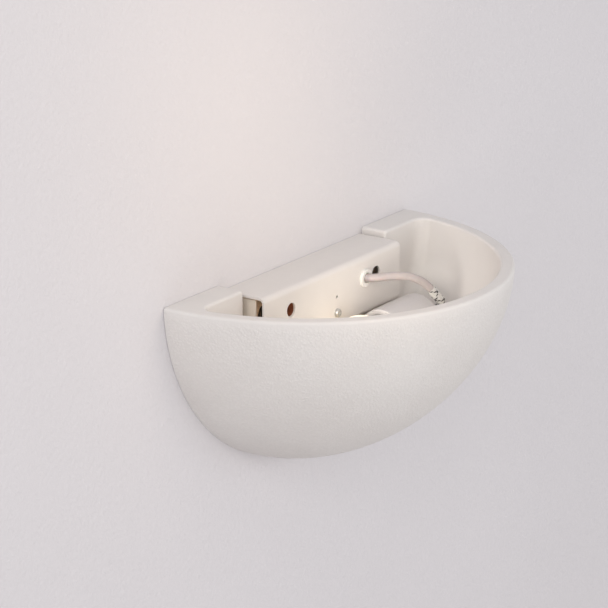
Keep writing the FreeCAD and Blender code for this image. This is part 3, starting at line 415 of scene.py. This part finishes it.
def add_strand(bm, rows, lengths, phase, way, index, slot):
    """One flat yarn of the braid, passing over and under the yarns that cross it."""
    reach = 0.435             # half a yarn, as a share of the turn between two yarns
    pitch = math.tau / BRAID_STRANDS
    rings = []
    for (point, side, up), length in zip(rows, lengths):
        turn = phase + way * 2 * math.pi * length / (BRAID_TURN * MM)
        over = math.cos((turn - phase) * way * BRAID_STRANDS + math.pi * index)
        ring = []
        for step, drop in ((-1, 0.16), (-0.5, 0.02), (0.5, 0.02), (1, 0.16)):
            angle = turn + step * reach * pitch
            radius = (BRAID_R + 0.13 * over - drop) * MM
            out = side * math.cos(angle) + up * math.sin(angle)
            ring.append(bm.verts.new(point + out * radius))
        rings.append(ring)
    for before, after in zip(rings, rings[1:]):
        for i in range(3):
            face = bm.faces.new((before[i], before[i + 1], after[i + 1], after[i]))
            face.smooth = True
            face.material_index = slot


def make_braid(lead, materials):
    """Woven sleeve over the last part of the lead, down to the nipple."""
    rows = frames_along(line_of(lead))
    first = next(i for i, row in enumerate(rows) if row[0].x > BRAID_START_X * MM)
    last = max(i for i, row in enumerate(rows) if row[0].x > BRAID_END_X * MM)
    rows = rows[first:last + 1]
    lengths = [0.0]
    for before, after in zip(rows, rows[1:]):
        lengths.append(lengths[-1] + (after[0] - before[0]).length)
    bm = bmesh.new()
    for way in (-1, 1):
        for i in range(BRAID_STRANDS):
            phase = 2 * math.pi * (i + (0.5 if way > 0 else 0)) / BRAID_STRANDS
            tracer = 1 if i % TRACER_EVERY == 0 else 0
            add_strand(bm, rows, lengths, phase, way, 0 if way > 0 else 1, tracer)
    bmesh.ops.recalc_face_normals(bm, faces=bm.faces)
    mesh = bpy.data.meshes.new("braided_sleeve_woven")
    bm.to_mesh(mesh)
    bm.free()
    mesh.materials.append(materials["braid"])
    mesh.materials.append(materials["braid_tracer"])
    piece = bpy.data.objects.new("braided_sleeve_woven", mesh)
    bpy.context.scene.collection.objects.link(piece)
    solid = piece.modifiers.new("thickness", "SOLIDIFY")
    solid.thickness = 0.16 * MM
    solid.offset = 0
    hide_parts("braided_sleeve")
    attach(piece, "fixture")
    return piece


def make_lead(materials):
    lead = nurbs("lamp_lead_silicone", LEAD_ROUTE, LEAD_R, materials["lead_sheath"])
    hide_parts("lamp_lead")
    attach(lead, "fixture")
    braid = make_braid(lead, materials)


def make_wires(materials):
    """Insulated wires between the lead, the terminal block, the holder and the tray."""
    for node, slot, runs in WIRES:
        for i, route in enumerate(runs):
            wire = nurbs(f"{node}_wire_{i + 1}", route, WIRE_R, materials[slot], 12)
            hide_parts(node)
            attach(wire, "fixture")


# ---- wall and light -----------------------------------------------------------------------------
def paint_wall(name, color, texture):
    """Stage surface, seen only from its front."""
    m = Material(name)
    tone = m.mix(m.ramp(m.noise(3.0, 3.0), 0.3, 0.7), shade(color, 0.985), shade(color, 1.015))
    m.set(Base_Color=tone, Roughness=0.9, Normal=m.bump(m.noise(texture, 4.0), 0.0006))
    m.bsdf.inputs["Specular IOR Level"].default_value = 0.2
    clear = m.add("ShaderNodeBsdfTransparent")
    choose = m.add("ShaderNodeMixShader")
    touching = m.math("LESS_THAN", m.add("ShaderNodeLightPath").outputs["Ray Length"], TOUCHING)
    behind = m.add("ShaderNodeNewGeometry").outputs["Backfacing"]
    m.feed(choose.inputs["Fac"], m.math("MAXIMUM", touching, behind))
    m.feed(choose.inputs[1], m.bsdf.outputs["BSDF"])
    m.feed(choose.inputs[2], clear.outputs["BSDF"])
    m.feed(m.nodes["Material Output"].inputs["Surface"], choose.outputs["Shader"])
    return m.mat


def add_stage(name, corners, paint):
    mesh = bpy.data.meshes.new(name)
    mesh.from_pydata(corners, [], [range(4)])
    mesh.materials.append(paint)
    piece = bpy.data.objects.new(name, mesh)
    bpy.context.scene.collection.objects.link(piece)


def make_stage():
    side, low, high, near, far = 3.2, -0.95, 2.6, -5.0, 2.5
    add_stage("wall", [(-side, WALL_Y, low), (side, WALL_Y, low), (side, WALL_Y, high),
                       (-side, WALL_Y, high)],
              paint_wall("wall_paint", (0.700, 0.672, 0.680), 260.0))
    add_stage("floor", [(-side, near, low), (side, near, low), (side, far, low), (-side, far, low)],
              paint_wall("floor_paint", (0.72, 0.70, 0.69), 60.0))


def add_area(name, place, target, size, watts, color, spread=180):
    data = bpy.data.lights.new(name, "AREA")
    data.shape = "DISK"
    data.size = size
    data.energy = watts
    data.color = color
    data.spread = math.radians(spread)
    lamp = bpy.data.objects.new(name, data)
    bpy.context.scene.collection.objects.link(lamp)
    lamp.location = place
    lamp.visible_camera = False
    lamp.rotation_euler = (Vector(target) - Vector(place)).to_track_quat("-Z", "Y").to_euler()


# Each lamp: name, place, target, width, watts, colour and, where it is narrow, the spread in degrees.
STUDIO_LAMPS = [
    ("key", (-2.2, -1.9, 1.3), (0, -0.05, 0), 1.8, 20.0, (1.0, 0.985, 0.965)),
    ("front", (0.6, -3.4, 0.1), (0, 0, 0), 3.0, 37.0, (1.0, 0.985, 0.975)),
    ("side", (-1.2, -0.25, 0.60), (0.05, -0.05, -0.02), 0.6, 2.6, (1.0, 0.985, 0.97)),
    ("lamp_glow", (-0.07, -0.24, 0.12), (-0.09, 0.0, 0.26), 0.10, 0.13, (1.0, 0.74, 0.48)),
    ("bowl_glow_cover", (-0.01, -0.115, -0.01), (0, -0.036, 0), 0.09, 0.013, (1.0, 0.90, 0.76)),
    ("bowl_glow_side", (-0.08, -0.080, 0.0), (0.125, -0.06, -0.02), 0.05, 0.012,
     (1.0, 0.95, 0.88), 60),
    ("wiring_glow", (-0.050, -0.018, -0.006), (-0.09, -0.02, -0.008), 0.012, 0.0045,
     (1.0, 0.74, 0.52)),
]


def make_light():
    for lamp in STUDIO_LAMPS:
        add_area(*lamp)
    world = bpy.data.worlds.new("studio")
    world.use_nodes = True
    nodes = world.node_tree.nodes
    links = world.node_tree.links
    room = nodes["Background"]
    room.inputs["Color"].default_value = (0.93, 0.95, 1.0, 1)
    room.inputs["Strength"].default_value = 0.60
    seen = nodes.new("ShaderNodeBackground")
    seen.inputs["Color"].default_value = (0.86, 0.855, 0.86, 1)
    path = nodes.new("ShaderNodeLightPath")
    either = nodes.new("ShaderNodeMath")
    either.operation = "MAXIMUM"
    links.new(path.outputs["Is Camera Ray"], either.inputs[0])
    shiny = nodes.new("ShaderNodeMath")
    shiny.operation = "MAXIMUM"
    links.new(path.outputs["Is Glossy Ray"], shiny.inputs[0])
    links.new(path.outputs["Is Transmission Ray"], shiny.inputs[1])
    links.new(shiny.outputs[0], either.inputs[1])
    choose = nodes.new("ShaderNodeMixShader")
    links.new(either.outputs[0], choose.inputs["Fac"])
    links.new(room.outputs[0], choose.inputs[1])
    links.new(seen.outputs[0], choose.inputs[2])
    links.new(choose.outputs[0], nodes["World Output"].inputs["Surface"])
    bpy.context.scene.world = world
    bpy.context.scene.view_settings.view_transform = "Standard"


make_camera()
materials = make_materials()
dress_cad(materials)
make_lead(materials)
make_wires(materials)
make_stage()
make_light()
